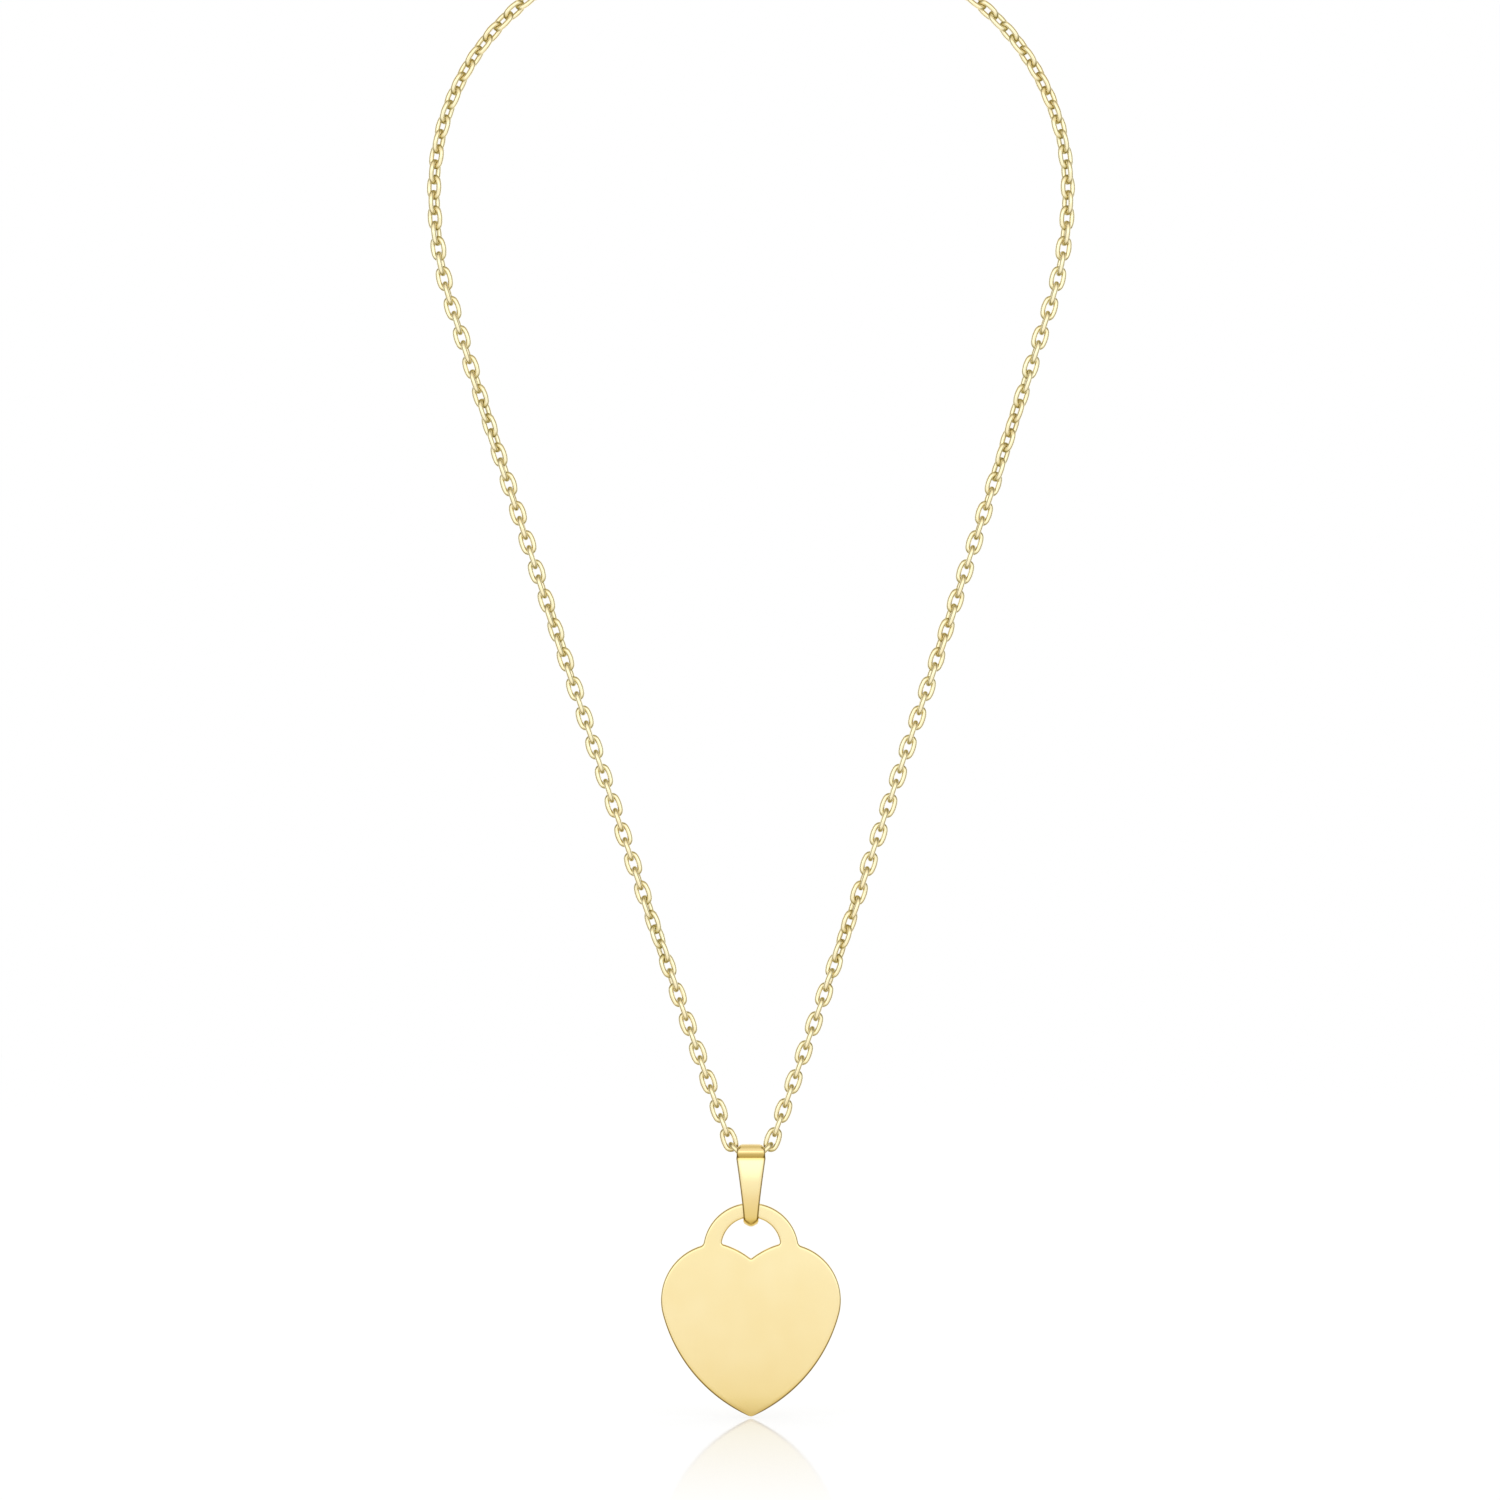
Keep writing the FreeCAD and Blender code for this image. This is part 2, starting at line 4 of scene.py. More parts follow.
import bmesh
import bpy
import numpy as np
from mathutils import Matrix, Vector


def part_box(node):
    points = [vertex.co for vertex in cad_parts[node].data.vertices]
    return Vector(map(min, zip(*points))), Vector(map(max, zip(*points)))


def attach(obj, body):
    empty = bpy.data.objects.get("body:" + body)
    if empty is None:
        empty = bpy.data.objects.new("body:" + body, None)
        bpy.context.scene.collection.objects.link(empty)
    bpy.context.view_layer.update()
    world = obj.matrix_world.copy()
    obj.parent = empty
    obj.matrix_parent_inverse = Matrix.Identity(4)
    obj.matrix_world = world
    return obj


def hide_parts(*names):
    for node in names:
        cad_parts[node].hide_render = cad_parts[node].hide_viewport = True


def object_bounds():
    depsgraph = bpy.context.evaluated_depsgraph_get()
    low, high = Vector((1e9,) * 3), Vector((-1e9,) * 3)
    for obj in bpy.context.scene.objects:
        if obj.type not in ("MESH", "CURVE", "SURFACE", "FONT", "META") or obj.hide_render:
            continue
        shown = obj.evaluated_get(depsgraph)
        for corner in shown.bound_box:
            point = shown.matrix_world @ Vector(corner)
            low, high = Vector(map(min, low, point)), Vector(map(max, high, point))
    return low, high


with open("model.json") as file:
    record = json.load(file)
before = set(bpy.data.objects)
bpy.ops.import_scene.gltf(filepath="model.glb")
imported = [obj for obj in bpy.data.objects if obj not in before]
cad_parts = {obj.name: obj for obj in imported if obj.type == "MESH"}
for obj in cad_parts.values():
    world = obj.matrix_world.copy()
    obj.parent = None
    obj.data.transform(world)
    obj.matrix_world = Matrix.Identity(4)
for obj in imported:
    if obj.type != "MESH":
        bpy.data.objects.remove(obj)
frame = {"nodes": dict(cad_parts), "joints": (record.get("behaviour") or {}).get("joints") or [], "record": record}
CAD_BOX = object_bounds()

# A pendant necklace in pale polished gold: a cable chain, a folded bail, a heart plate
# and a lobster clasp. Metres, +Z up, and the heart's front faces -Y.

MM = 0.001
BODY_OF = {node: body for body, nodes in frame["record"]["behaviour"]["bodies"].items()
           for node in nodes}
JOINT_AT = {joint["name"]: Vector(joint["pos_m"]) for joint in frame["joints"]}


# ---- small helpers ----

def mesh_piece(name, points, faces, material, node):
    """A smooth mesh that stands for one CAD node and rides on its body."""
    mesh = bpy.data.meshes.new(name)
    mesh.from_pydata(points, [], faces)
    return piece_from(name, mesh, material, node)


def piece_from(name, mesh, material, node):
    mesh.name = name
    mesh.polygons.foreach_set("use_smooth", [True] * len(mesh.polygons))
    mesh.materials.clear()
    mesh.materials.append(material)
    piece = bpy.data.objects.new(name, mesh)
    bpy.context.scene.collection.objects.link(piece)
    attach(piece, BODY_OF[node])
    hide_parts(node)
    return piece


def give_shade(piece, values):
    piece.data.attributes.new(SHADE, "FLOAT", "POINT").data.foreach_set("value", values)


def face_weighted(piece):
    """Flat faces keep their own direction, and the rounded edges take up the turn."""
    weighted = piece.modifiers.new("weighted", "WEIGHTED_NORMAL")
    weighted.keep_sharp = True
    weighted.weight = 100


def ring_faces(rings, sides, closed):
    """The quads between successive rings of points."""
    faces = []
    for ring in range(rings if closed else rings - 1):
        here = ring * sides
        after = (ring + 1) % rings * sides
        for side in range(sides):
            beside = (side + 1) % sides
            faces.append((here + side, here + beside, after + beside, after + side))
    return faces


def tube_rings(path, across, radii, sides):
    """Rings of points round a path that lies in a plane whose normal is across."""
    along = np.roll(path, -1, axis=0) - np.roll(path, 1, axis=0)
    along /= np.linalg.norm(along, axis=1)[:, None]
    outward = np.cross(along, across)
    turn = np.arange(sides) * 2 * math.pi / sides
    return (path[:, None, :]
            + (radii[:, None] * np.cos(turn))[:, :, None] * outward[:, None, :]
            + (radii[:, None] * np.sin(turn))[:, :, None] * np.array(across)[None, None, :])


def smooth_step(share):
    share = np.clip(share, 0, 1)
    return share * share * (3 - 2 * share)


# ---- shader helpers ----

def new_material(name):
    material = bpy.data.materials.new(name)
    material.use_nodes = True
    return material, material.node_tree, material.node_tree.nodes["Principled BSDF"]


def add(tree, kind, inputs=None, **settings):
    node = tree.nodes.new(kind)
    for key, value in settings.items():
        setattr(node, key, value)
    for key, value in (inputs or {}).items():
        if isinstance(value, bpy.types.NodeSocket):
            tree.links.new(value, node.inputs[key])
        else:
            node.inputs[key].default_value = value
    return node


def object_place(tree, scale=(1, 1, 1), rotation=(0, 0, 0)):
    coordinate = add(tree, "ShaderNodeTexCoord")
    mapping = add(tree, "ShaderNodeMapping", {
        "Vector": coordinate.outputs["Object"], "Scale": scale, "Rotation": rotation})
    return mapping.outputs["Vector"]


def noise(tree, vector, scale, detail=3.0, roughness=0.5):
    node = add(tree, "ShaderNodeTexNoise", {
        "Vector": vector, "Scale": scale, "Detail": detail, "Roughness": roughness})
    return node.outputs["Fac"]


def spread(tree, value, low, high, start=0.0, end=1.0):
    """value, taken from start..end to low..high."""
    node = add(tree, "ShaderNodeMapRange", {
        "Value": value, "From Min": start, "From Max": end, "To Min": low, "To Max": high})
    return node.outputs["Result"]


def ramp(tree, value, stops):
    node = add(tree, "ShaderNodeValToRGB", {"Fac": value})
    elements = node.color_ramp.elements
    while len(elements) < len(stops):
        elements.new(1.0)
    for element, (place, colour) in zip(elements, stops):
        element.position = place
        element.color = (*colour, 1.0)
    return node.outputs["Color"]


def calculate(tree, operation, first, second=0.0):
    node = add(tree, "ShaderNodeMath", {0: first, 1: second}, operation=operation)
    return node.outputs[0]


# ---- materials ----

GOLD_LIGHT = (0.985, 0.850, 0.490)
GOLD_DEEP = (0.960, 0.805, 0.425)
CHAIN_DEEP = (1.000, 0.890, 0.560)
CHAIN_LIGHT = (1.000, 0.930, 0.630)
SHADE = "shade"            # painted shade: a mesh's own values, 0..1, that darken its gold
CHAIN_METAL = 0.82         # the chain's gold is a little satin, which lightens its shades
TONE_SCALE = 110.0         # of the gold's faint change of tone
LINE_LENGTH = 260.0        # scale of the polishing lines along their run
LINE_TURNS = ((0.5, 11000.0), (-0.9, 9000.0))      # their angles, and scales across them
LINE_LEVELS = (0.56, 0.74) # where a line starts and is full, in its noise
LINE_ROUGHNESS = 0.05      # how much rougher a line is than the gold beside it
BUMP_STRENGTH = 0.25
BUMP_DEPTH = 0.004 * MM
# Painted shade on the chain: darker towards each link's tips, where its neighbours cross.
CHAIN_PAINTED_SHADE = ((0.0, (1.0, 1.0, 1.0)), (1.0, (0.48, 0.44, 0.20)))
# Painted shade on the bail: its foot, the band's lower edge and the leg under that edge.
BAIL_PAINTED_SHADE = ((0.0, (1.0, 1.0, 1.0)), (0.35, (0.95, 0.90, 0.76)), (0.7, (0.90, 0.84, 0.58)),
             (0.85, (0.78, 0.70, 0.46)), (1.0, (0.64, 0.58, 0.36)))


def fine_lines(tree, turn, width_scale):
    """Thin polishing lines at one angle in the XZ plane, as a 0..1 mask."""
    place = object_place(tree, (LINE_LENGTH, width_scale, width_scale), (0, turn, 0))
    strokes = noise(tree, place, 1.0, 2.0)
    return spread(tree, strokes, 0.0, 1.0, *LINE_LEVELS)


def gold(name, rough=(0.14, 0.22), lines=0.25, grain=0.04, grain_scale=2600.0, shade_ramp=None,
         tones=(GOLD_DEEP, GOLD_LIGHT), metal=1.0):
    """Polished pale gold: a faint change of tone, a satin grain and hair-fine lines. Given a
    ramp, the mesh's own painted shade values darken it."""
    material, tree, shader = new_material(name)
    place = object_place(tree)
    tone = noise(tree, place, TONE_SCALE, 2.0)
    shader.inputs["Metallic"].default_value = metal
    colour = ramp(tree, tone, ((0.3, tones[0]), (0.7, tones[1])))
    # painted shade: the mesh's shade values darken the gold through the ramp
    if shade_ramp:
        shade = add(tree, "ShaderNodeAttribute", attribute_name=SHADE)
        painted_shade_colour = ramp(tree, shade.outputs["Fac"], shade_ramp)
        colour = add(tree, "ShaderNodeVectorMath", {0: colour, 1: painted_shade_colour},
                     operation="MULTIPLY").outputs["Vector"]
    tree.links.new(colour, shader.inputs["Base Color"])
    marks = calculate(tree, "MAXIMUM", *(fine_lines(tree, *line) for line in LINE_TURNS))
    satin = noise(tree, place, grain_scale, 4.0, 0.6)
    gloss = spread(tree, satin, rough[0], rough[1], 0.3, 0.7)
    worn = calculate(tree, "MULTIPLY", marks, LINE_ROUGHNESS)
    tree.links.new(calculate(tree, "ADD", gloss, worn), shader.inputs["Roughness"])
    height = calculate(tree, "ADD", calculate(tree, "MULTIPLY", marks, -lines),
                       calculate(tree, "MULTIPLY", satin, grain))
    bump = add(tree, "ShaderNodeBump", {"Height": height, "Strength": BUMP_STRENGTH,
                                        "Distance": BUMP_DEPTH})
    tree.links.new(bump.outputs["Normal"], shader.inputs["Normal"])
    return material


def spring_steel():
    material, tree, shader = new_material("spring_steel")
    place = object_place(tree, (400, 9000, 9000))
    drawn = noise(tree, place, 1.0, 3.0)
    shader.inputs["Metallic"].default_value = 1.0
    tree.links.new(ramp(tree, drawn, ((0.3, (0.50, 0.50, 0.52)), (0.7, (0.66, 0.66, 0.68)))),
                   shader.inputs["Base Color"])
    tree.links.new(spread(tree, drawn, 0.18, 0.34), shader.inputs["Roughness"])
    return material


# ---- chain ----

LINK_END_RADIUS = 0.79 * MM
LINK_STEPS = 44
LINK_SIDES = 14
WELD_SWELL = 0.05          # the soldered joint on one side of each link, as a share
WELD_LENGTH = 0.35 * MM
TIP_SHADE_LENGTH = 0.85 * MM # a link's tips lie inside its neighbours, and take painted shade there


def separate_solids(node):
    """The closed solids of one CAD node, each as its points and triangles."""
    mesh = frame["nodes"][node].data
    mesh.calc_loop_triangles()
    corners = np.empty(len(mesh.vertices) * 3)
    mesh.vertices.foreach_get("co", corners)
    triangles = np.empty(len(mesh.loop_triangles) * 3, int)
    mesh.loop_triangles.foreach_get("vertices", triangles)
    places, same = np.unique(np.round(corners.reshape(-1, 3), 7), axis=0, return_inverse=True)
    triangles = same.ravel()[triangles].reshape(-1, 3)
    label = np.arange(len(places))
    while True:
        lowest = label[triangles].min(axis=1)
        joined = label.copy()
        for corner in range(3):
            np.minimum.at(joined, triangles[:, corner], lowest)
        joined = joined[joined]
        if np.array_equal(joined, label):
            break
        label = joined
    for start in np.unique(label):
        yield places, triangles[label[triangles[:, 0]] == start]


def solid_frame(places, triangles):
    """Centre, axes from long to short and full sizes of one closed solid."""
    a, b, c = (places[triangles[:, corner]] for corner in range(3))
    area = np.linalg.norm(np.cross(b - a, c - a), axis=1)[:, None]
    middle = (a + b + c) / 3
    centre = (middle * area).sum(0) / area.sum()
    apart = middle - centre
    axes = np.linalg.eigh((apart * area).T @ apart)[1][:, ::-1].T
    reach = (np.vstack((a, b, c)) - centre) @ axes.T
    return centre, axes, reach.max(0) - reach.min(0)


def link_path(half_length, half_width):
    """The centre line of an oval link: two tight ends joined by two long curves."""
    reach = half_length - LINK_END_RADIUS
    side_radius = ((reach ** 2 + half_width ** 2 - LINK_END_RADIUS ** 2)
                   / (2 * (half_width - LINK_END_RADIUS)))
    drop = side_radius - half_width
    lean = math.atan2(drop, reach)
    quarter = []
    for step in range(LINK_STEPS // 4):
        share = step / (LINK_STEPS // 4)
        end_length = LINK_END_RADIUS * lean
        travelled = share * (end_length + side_radius * (math.pi / 2 - lean))
        if travelled < end_length:
            angle = travelled / LINK_END_RADIUS
            quarter.append((reach + LINK_END_RADIUS * math.cos(angle),
                            LINK_END_RADIUS * math.sin(angle)))
        else:
            angle = lean + (travelled - end_length) / side_radius
            quarter.append((side_radius * math.cos(angle), side_radius * math.sin(angle) - drop))
    half = quarter + [(0.0, half_width)] + [(-x, y) for x, y in reversed(quarter[1:])]
    whole = half + [(-x, -y) for x, y in half]
    return np.array([(x, y, 0.0) for x, y in whole])


def link_shape(length, width, wire):
    """One link in its own axes, with the slight swelling of its soldered joint."""
    path = link_path((length - wire) / 2, (width - wire) / 2)
    weld = np.array((0.0, (width - wire) / 2, 0.0))
    off = np.linalg.norm(path - weld, axis=1) / WELD_LENGTH
    radii = wire / 2 * (1 + WELD_SWELL * np.exp(-off ** 2))
    return tube_rings(path, (0.0, 0.0, 1.0), radii, LINK_SIDES)


def chain_piece(node, material):
    points, faces, tip_shade = [], [], []
    for places, triangles in separate_solids(node):
        centre, axes, sizes = solid_frame(places, triangles)
        local = link_shape(*sizes)
        rings, sides = local.shape[:2]
        # painted shade, deepest at each link's tips inside its neighbours
        from_tip = sizes[0] / 2 - np.abs(local[:, :, 0].ravel())
        tip_shade.extend(smooth_step(1 - from_tip / TIP_SHADE_LENGTH))
        if np.linalg.det(axes) < 0:
            axes = axes * np.array((1, 1, -1))[:, None]
        start = len(points)
        points.extend((local.reshape(-1, 3) @ axes + centre).tolist())
        faces.extend(tuple(start + i for i in face) for face in ring_faces(rings, sides, True))
    piece = mesh_piece(f"{node}_links", points, faces, material, node)
    give_shade(piece, tip_shade)
    return piece


# ---- rings ----

RING_STEPS = 96
RING_SIDES = 24
RING_CUT = 0.02 * MM       # the closed cut of a bent ring


def ring_piece(node, material, cut_at):
    """A bent wire ring, its cut closed but for a hair line, at the angle cut_at."""
    low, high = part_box(node)
    centre = (low + high) / 2
    wire = high.z - low.z
    radius = (high.x - low.x - wire) / 2
    half_cut = RING_CUT / 2 / radius
    turns = np.linspace(cut_at + half_cut, cut_at + 2 * math.pi - half_cut, RING_STEPS)
    outward = np.stack((np.cos(turns), np.sin(turns), 0 * turns), axis=1)
    round_wire = np.arange(RING_SIDES) * 2 * math.pi / RING_SIDES
    reach = radius + wire / 2 * np.cos(round_wire)
    rise = wire / 2 * np.sin(round_wire)
    points = outward[:, None, :] * reach[None, :, None]
    points[:, :, 2] = rise[None, :]
    points = points + np.array(centre)
    faces = ring_faces(RING_STEPS, RING_SIDES, False)
    faces.append(tuple(reversed(range(RING_SIDES))))
    faces.append(tuple((RING_STEPS - 1) * RING_SIDES + i for i in range(RING_SIDES)))
    piece = mesh_piece(f"{node}_wire", points.reshape(-1, 3).tolist(), faces, material, node)
    face_weighted(piece)
    return piece


# ---- heart ----

ARCH = JOINT_AT["heart_sway"]        # centre of the arch's inner circle
ARCH_INNER = 4.4 * MM
ARCH_OUTER = 7.2 * MM
ARCH_SHIFT = 0.6 * MM
HOLE_CORNER = (4.35 * MM, 0.45 * MM)
CLEFT = -1.78 * MM
CLEFT_RADIUS = 12.0 * MM
LOBE = (5.0 * MM, -7.97 * MM)
LOBE_RADIUS = 8.5 * MM
TIP = -25.5 * MM
SIDE_RADIUS = 23.3 * MM
TIP_ROUND = 0.9 * MM
NECK_ROUND = 0.7 * MM
CORNER_ROUND = 0.35 * MM
CLEFT_ROUND = 0.25 * MM
ARC_STEP = 0.16 * MM
RIM_ROUND = 0.34 * MM                # how far in, and how deep, the plate's edge is rounded
RIM_STEPS = 9
POLISH = ((0.76 * MM, 0.0), (0.54 * MM, 0.003 * MM))   # the face falls off a hair near its rim
POLISH_DROP = 0.008 * MM


def rim_profile():
    """From the flat face out to the rim: distance inside the outline, and below the face."""
    yield from POLISH
    for step in range(RIM_STEPS):
        turn = math.pi / 2 * step / (RIM_STEPS - 1)
        yield (RIM_ROUND * (1 - math.sin(turn)), POLISH_DROP + RIM_ROUND * (1 - math.cos(turn)))


def crossing(a, radius_a, b, radius_b, side):
    """Where two circles cross; side picks one of the two places."""
    a, b = np.array(a), np.array(b)
    apart = np.linalg.norm(b - a)
    along = (apart ** 2 + radius_a ** 2 - radius_b ** 2) / (2 * apart)
    height = math.sqrt(radius_a ** 2 - along ** 2)
    unit = (b - a) / apart
    return a + unit * along + np.array((-unit[1], unit[0])) * height * side


def touching(one, other):
    """The point where two tangent circles meet. A circle is (centre, radius, bulge)."""
    (a, radius_a, bulge_a), (b, radius_b, bulge_b) = one, other
    unit = (b - a) / np.linalg.norm(b - a)
    if bulge_a == bulge_b and radius_a < radius_b:
        unit = -unit
    return a + unit * radius_a


def outline(circles):
    """Points and outward directions round a loop of tangent arcs, metal on the left."""
    points, outward = [], []
    for index, circle in enumerate(circles):
        centre, radius, bulge = circle
        start = touching(circle, circles[index - 1]) - centre
        end = touching(circle, circles[(index + 1) % len(circles)]) - centre
        first = math.atan2(start[1], start[0])
        sweep = (math.atan2(end[1], end[0]) - first) * bulge % (2 * math.pi)
        steps = max(6, round(sweep * radius / ARC_STEP))
        for step in range(steps):
            angle = first + bulge * sweep * step / steps
            direction = np.array((math.cos(angle), math.sin(angle)))
            points.append(centre + radius * direction)
            outward.append(direction * bulge)
    return np.array(points), np.array(outward)


def mirrored(circles):
    """The same circles on the left side, in the order that continues the loop."""
    return [(centre * np.array((-1, 1)), radius, bulge)
            for centre, radius, bulge in reversed(circles)]


def heart_outside():
    lobe = np.array(LOBE)
    arch = np.array((0.0, -ARCH_SHIFT))
    side = crossing((0.0, TIP), SIDE_RADIUS, lobe, SIDE_RADIUS - LOBE_RADIUS, 1)
    tip_height = math.sqrt((SIDE_RADIUS - TIP_ROUND) ** 2 - side[0] ** 2)
    tip = np.array((0.0, side[1] - tip_height))
    neck = crossing(arch, ARCH_OUTER + NECK_ROUND, lobe, LOBE_RADIUS + NECK_ROUND, 1)
    right = [(side, SIDE_RADIUS, 1), (lobe, LOBE_RADIUS, 1), (neck, NECK_ROUND, -1)]
    return [(tip, TIP_ROUND, 1)] + right + [(arch, ARCH_OUTER, 1)] + mirrored(right)


def heart_opening():
    arch = np.array((0.0, 0.0))
    lobe = crossing(HOLE_CORNER, CLEFT_RADIUS, (0.0, CLEFT), CLEFT_RADIUS, 1)
    corner = crossing(arch, ARCH_INNER - CORNER_ROUND, lobe, CLEFT_RADIUS + CORNER_ROUND, 1)
    cleft_height = math.sqrt((CLEFT_RADIUS + CLEFT_ROUND) ** 2 - lobe[0] ** 2)
    cleft = np.array((0.0, lobe[1] + cleft_height))
    right = [(corner, CORNER_ROUND, -1), (lobe, CLEFT_RADIUS, 1)]
    return [(arch, ARCH_INNER, -1)] + right + [(cleft, CLEFT_ROUND, -1)] + mirrored(right)


def heart_piece(material):
    low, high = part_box("heart")
    middle, half = (low.y + high.y) / 2, (high.y - low.y) / 2
    profile = list(rim_profile())
    levels = [(inset, middle - half + drop) for inset, drop in profile]
    levels += [(inset, middle + half - drop) for inset, drop in reversed(profile)]
    mesh = bmesh.new()
    ends = {0: [], len(levels) - 1: []}
    for circles in (heart_outside(), heart_opening()):
        points, outward = outline(circles)
        rings = []
        for inset, y in levels:
            flat = points - outward * inset
            rings.append([mesh.verts.new((x + ARCH.x, y, z + ARCH.z)) for x, z in flat])
        for above, below in zip(rings, rings[1:]):
            for index in range(len(points)):
                after = (index + 1) % len(points)
                mesh.faces.new((above[index], above[after], below[after], below[index]))
        for level in ends:
            ring = rings[level]
            ends[level] += [mesh.edges.get((ring[i - 1], ring[i])) for i in range(len(ring))]
    for edges in ends.values():
        bmesh.ops.triangle_fill(mesh, use_beauty=True, use_dissolve=False, edges=edges)
    bmesh.ops.recalc_face_normals(mesh, faces=mesh.faces)
    data = bpy.data.meshes.new("heart_plate")
    mesh.to_mesh(data)
    mesh.free()
    piece = piece_from("heart_plate", data, material, "heart")
    face_weighted(piece)
    return piece


# ---- bail ----

ROLL = JOINT_AT["bail_swing"]        # centre of the roll that the chain runs through
ROLL_INNER = 1.52 * MM
ROOF = 0.52 * MM                     # thickness of the strip round the roll
FOOT_INNER = 0.95 * MM
FOOT_WALL = 0.93 * MM
CAD_FOOT_WALL = 0.85 * MM            # the strip is a little thicker here than the CAD's
LEG_RADIUS = 27 * MM                 # of the two legs' slow bow, seen from the side
LIP_FORWARD = 1.31 * MM              # centre of the band's front curl, from the roll's centre
LIP_RISE = 0.86 * MM
LIP_CLEAR = 0.04 * MM                # hair gap between the band and the leg behind it
BAND_REACH = 0.975                   # share of the quarter turn from the roll's top to its front
TUCK = math.radians(24)              # how far the leg's end reaches up behind the band
TUCK_MARGIN = 0.2                    # radians above it where the band starts to clear it
BAND_WIDTH = 4.28 * MM
BAND_CORNER = 0.66 * MM              # the strip narrows over the top of the roll
CORNER_SLOPE = 0.7                   # by this much for each step up
MOUTH = 0.3 * MM                     # and is thinner at the roll's two open ends
LEG_WIDTH = 4.40 * MM
FOOT_WIDTH = 2.25 * MM
TAPER = 1.20                         # above 1, the leg narrows faster at its top
CROWN_LIMIT = 0.82                   # the most the crown takes off, as a share of the wall
FOOT_RISE = 1.5 * MM                 # height over which the foot keeps its width
FOOT_CROWN = 0.50 * MM               # how round the strip is across the foot
STRIP_CROWN = 0.03 * MM              # and across the rest
EDGE_CUT = 0.31 * MM                 # width of the sloping cut along the strip's front edges
EDGE_SLOPE = 0.50
EDGE_SHARE = 0.3                     # the most of the strip's half width that a cut takes
EDGE_LEAST = 0.12                    # the least height of the edge, as a share of the wall
EDGE_SOFT = 0.04 * MM
UNDER_FLAT = 0.72                    # flat share of the strip's inside
MOUTH_SHARE = 0.6                    # the most of the edge that a mouth takes
MOUTH_LIP = 0.1                      # rounding between mouth and edge, as a share
BAIL_STEP = 0.12 * MM
BAND_STEPS = 40
BAIL_SIDES = 11                      # points across the front of the strip
FOOT_ROUND = 0.50 * MM               # height of its round end, seen from the front
FOOT_NARROW = 0.90                   # its least width, as a share
FOOT_SHADE = 0.7                     # how deep the foot's painted shade is
FOOT_FADE = 8.0 * MM                 # height over which that painted shade fades
LIP_LEVEL = 11.65 * MM               # below this height the band's lower edge takes painted shade
LIP_FADE = 0.75 * MM
TUCK_LEVEL = 9.9 * MM                # above this height the leg takes the band's painted shadow
TUCK_FADE = 0.6 * MM


def bail_route(low):
    """The strip in the YZ plane, as inside point, outward direction and wall. It runs from
    behind the band, down the front, round the foot, up the back and over the roll."""
    roll = np.array((0.0, ROLL.z))
    foot = np.array((0.0, low.z + FOOT_INNER + CAD_FOOT_WALL))
    front, back = (crossing(roll, LEG_RADIUS - ROLL_INNER, foot, LEG_RADIUS - FOOT_INNER, side)
                   for side in (1, -1))
    leave = math.atan2(*(roll - front)[::-1]) % (2 * math.pi)
    land = math.atan2(*(foot - front)[::-1]) % (2 * math.pi)
    half_turn = 3 * math.pi
    yield from bail_arc(roll, ROLL_INNER, math.pi - TUCK, leave, ROOF, ROOF)
    yield from bail_arc(front, LEG_RADIUS, leave, land, ROOF, FOOT_WALL)
    yield from bail_arc(foot, FOOT_INNER, land, half_turn - land, FOOT_WALL, FOOT_WALL)
    yield from bail_arc(back, LEG_RADIUS, half_turn - land, half_turn - leave, FOOT_WALL, ROOF)
    yield from bail_arc(roll, ROLL_INNER, half_turn - leave, 2.5 * math.pi, ROOF, ROOF)


def bail_arc(centre, radius, first, last, first_wall, last_wall):
    steps = max(4, round((last - first) * radius / BAIL_STEP))
    for step in range(steps):
        share = step / steps
        angle = first + (last - first) * share
        direction = np.array((math.cos(angle), math.sin(angle)))
        wall = first_wall + (last_wall - first_wall) * float(smooth_step(share))
        yield centre + radius * direction, direction, wall


def band_route():
    """From the top of the roll to the band's lower edge, which curls in to touch the leg."""
    top = ROLL_INNER + ROOF
    curl = np.array((-LIP_FORWARD, LIP_RISE))
    curl_radius = top - LIP_RISE
    bend_starts = math.atan2(top, -LIP_FORWARD)
    for step in range(BAND_STEPS + 1):
        angle = math.pi / 2 * (1 + BAND_REACH * step / BAND_STEPS)
        direction = np.array((math.cos(angle), math.sin(angle)))
        if angle < bend_starts:
            outside = top / direction[1]
        else:
            along = curl @ direction
            outside = along + math.sqrt(along ** 2 - curl @ curl + curl_radius ** 2)
        inside = outside - ROOF
        if angle > math.pi - TUCK - TUCK_MARGIN:
            inside = max(inside, top + LIP_CLEAR)
        yield np.array((0.0, ROLL.z)) + inside * direction, direction, outside - inside


def strip_section(half, wall, crown, mouth):
    """Across the strip: (x, height above its inside). The front has sloping cut edges."""
    cut = min(EDGE_CUT, half * EDGE_SHARE)
    flat = half - cut
    front = []
    for step in range(BAIL_SIDES):
        x = flat * (2 * step / (BAIL_SIDES - 1) - 1)
        front.append((x, wall - crown * (x / half) ** 2))
    edge = wall - crown * (flat / half) ** 2
    low_edge = max(edge - cut * EDGE_SLOPE, wall * EDGE_LEAST)
    mouth = min(mouth, low_edge * MOUTH_SHARE)
    left = [(-half, mouth + low_edge * MOUTH_LIP), (-half, (mouth + low_edge) / 2),
            (-half, low_edge - EDGE_SOFT / 2),
            (-half + EDGE_SOFT / 2, low_edge + EDGE_SOFT / 3),
            (-flat - EDGE_SOFT, edge - EDGE_SOFT * EDGE_SLOPE)]
    right = [(-x, height) for x, height in reversed(left)]
    flat_under = half * UNDER_FLAT
    under = [(half - EDGE_SOFT, mouth), (flat_under, 0.0), (0.0, 0.0), (-flat_under, 0.0),
             (-half + EDGE_SOFT, mouth)]
    return left + front + right + under


